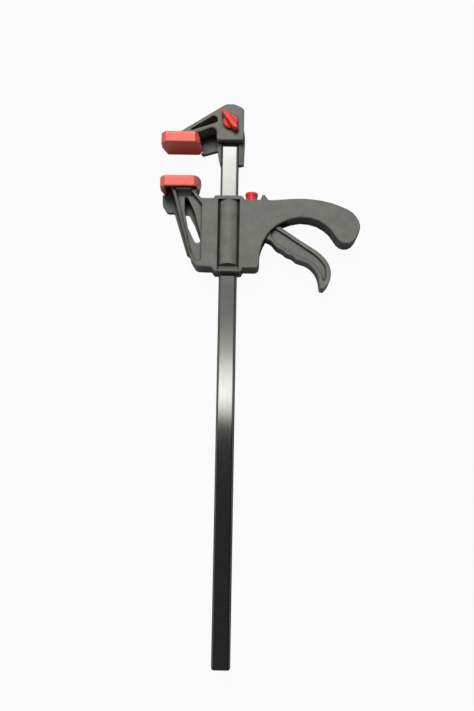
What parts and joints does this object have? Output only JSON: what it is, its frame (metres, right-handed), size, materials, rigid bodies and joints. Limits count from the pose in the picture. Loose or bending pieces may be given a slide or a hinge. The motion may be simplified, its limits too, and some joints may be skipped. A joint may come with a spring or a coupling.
{
  "type": "quick release bar clamp",
  "caption": "One-handed bar clamp: a flat steel bar with a fixed jaw, and a sliding jaw with a trigger grip, a release button and soft jaw pads.",
  "frame": {"origin": "middle of the fixed jaw's clamping face", "axes": "+Z out of the side with the lock knob, half the thickness of the bar at Z = 0; the bar runs along Y, towards -Y from the fixed jaw; +X from the jaws' reach to the grip"},
  "size_m": [0.2203, 0.6116, 0.0453],
  "materials": {
    "bar_steel": "smooth, dark polished steel",
    "body_plastic": "fine satin texture",
    "trigger_plastic": "fine satin texture",
    "pad_soft": "smooth, slightly glossy soft plastic",
    "red_plastic": "semi-gloss",
    "pin_steel": "plain zinc-like steel",
    "plate_steel": "stamped plate",
    "spring_steel": "drawn wire"
  },
  "bodies": {
    "bar_and_fixed_jaw": {"bar": "bar_steel", "fixed_jaw": "body_plastic", "fixed_jaw_pad": "pad_soft"},
    "lock": {"lock_pin": "pin_steel", "lock_knob": "red_plastic", "retaining_clip": "pin_steel"},
    "moving_jaw": {"front_housing": "body_plastic", "rear_housing": "body_plastic", "barrel_cover": "body_plastic", "moving_jaw_pad": "pad_soft", "housing_screws": "pin_steel", "trigger_pin": "pin_steel", "brake_spring": "spring_steel", "drive_spring": "spring_steel"},
    "button": {"release_button": "red_plastic"},
    "brake": {"brake_plate": "plate_steel"},
    "trigger": {"trigger": "trigger_plastic"},
    "drive": {"drive_plate": "plate_steel"}
  },
  "joints": [
    {"name": "jaw_slide", "type": "slide", "parent": "bar_and_fixed_jaw", "child": "moving_jaw", "axis": [0, 1, 0], "range_m": [-0.412, 0.0379]},
    {"name": "lock_turn", "type": "hinge", "parent": "bar_and_fixed_jaw", "child": "lock", "pos_m": [0.054, 0.026, 0], "axis": [0, 0, 1], "range_deg": [0, 90]},
    {"name": "trigger_pull", "type": "hinge", "parent": "moving_jaw", "child": "trigger", "pos_m": [0.092, -0.0882, 0], "axis": [0, 0, 1], "range_deg": [0, 18], "stiffness_Nm_per_rad": 1.5, "springref_deg": -11.46},
    {"name": "drive_push", "type": "slide", "parent": "moving_jaw", "child": "drive", "axis": [0, -1, 0], "range_m": [0, 0.0048], "deforming": ["drive_spring"]},
    {"name": "button_press", "type": "slide", "parent": "moving_jaw", "child": "button", "axis": [0, -1, 0], "range_m": [0, 0.0028], "stiffness_N_per_m": 900, "springref_m": -0.003, "deforming": ["brake_spring"]},
    {"name": "brake_turn", "type": "hinge", "parent": "moving_jaw", "child": "brake", "pos_m": [0.039, -0.0732, 0], "axis": [0, 0, 1], "range_deg": [-4.01, 0]}
  ],
  "couplings": [
    {"joint": "drive_push", "follows": "trigger_pull", "m_per_rad": 0.0145},
    {"joint": "brake_turn", "follows": "button_press", "rad_per_m": -24.93}
  ]
}
